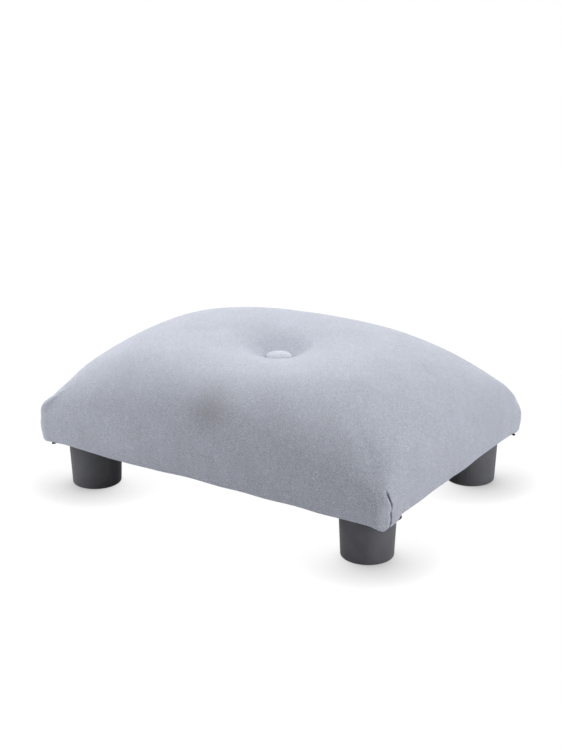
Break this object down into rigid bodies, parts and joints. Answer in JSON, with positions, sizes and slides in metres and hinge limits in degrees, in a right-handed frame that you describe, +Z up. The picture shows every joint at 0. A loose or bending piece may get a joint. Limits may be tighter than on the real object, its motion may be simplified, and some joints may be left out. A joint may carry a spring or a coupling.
{
  "type": "upholstered footstool",
  "caption": "Low rectangular footstool: a domed velvet pad, drawn down by a covered button in the middle, on short tapered round legs.",
  "frame": {"origin": "on the floor, at the middle of the stool's outline", "axes": "+X along the long side, +Y along the short side, +Z up"},
  "size_m": [0.4, 0.3, 0.155],
  "materials": {
    "velvet": "pale blue-grey short-pile velvet",
    "wadding": "polyester wadding",
    "foam": "open-cell polyurethane foam",
    "fibreboard": "raw fibreboard",
    "dust_cloth": "black non-woven cloth",
    "dark_plastic": "satin dark grey plastic",
    "bright_steel": "bright steel wire and rod",
    "zinc_plate": "zinc-plated pressed steel",
    "waxed_twine": "waxed polyester twine"
  },
  "bodies": {
    "root": {"cover": "velvet", "wadding": "wadding", "foam_block": "foam", "base_board": "fibreboard", "dust_cover": "dust_cloth", "button_cloth": "velvet", "button_cap": "zinc_plate", "button_back": "zinc_plate", "button_eye": "bright_steel", "tufting_twine": "waxed_twine", "leg_1": "dark_plastic", "leg_stud_1": "bright_steel", "tee_nut_1": "zinc_plate", "twine_staple_01": "bright_steel", "leg_2": "dark_plastic", "leg_stud_2": "bright_steel", "tee_nut_2": "zinc_plate", "twine_staple_02": "bright_steel", "leg_3": "dark_plastic", "leg_stud_3": "bright_steel", "tee_nut_3": "zinc_plate", "twine_staple_03": "bright_steel", "leg_4": "dark_plastic", "leg_stud_4": "bright_steel", "tee_nut_4": "zinc_plate", "twine_staple_04": "bright_steel", "dust_staple_01": "bright_steel", "dust_staple_02": "bright_steel", "dust_staple_03": "bright_steel", "dust_staple_04": "bright_steel", "dust_staple_05": "bright_steel", "dust_staple_06": "bright_steel", "dust_staple_07": "bright_steel", "dust_staple_08": "bright_steel", "dust_staple_09": "bright_steel", "dust_staple_10": "bright_steel", "dust_staple_11": "bright_steel", "dust_staple_12": "bright_steel", "dust_staple_13": "bright_steel", "dust_staple_14": "bright_steel", "dust_staple_15": "bright_steel", "dust_staple_16": "bright_steel", "dust_staple_17": "bright_steel", "dust_staple_18": "bright_steel", "dust_staple_19": "bright_steel", "dust_staple_20": "bright_steel"}
  },
  "joints": []
}
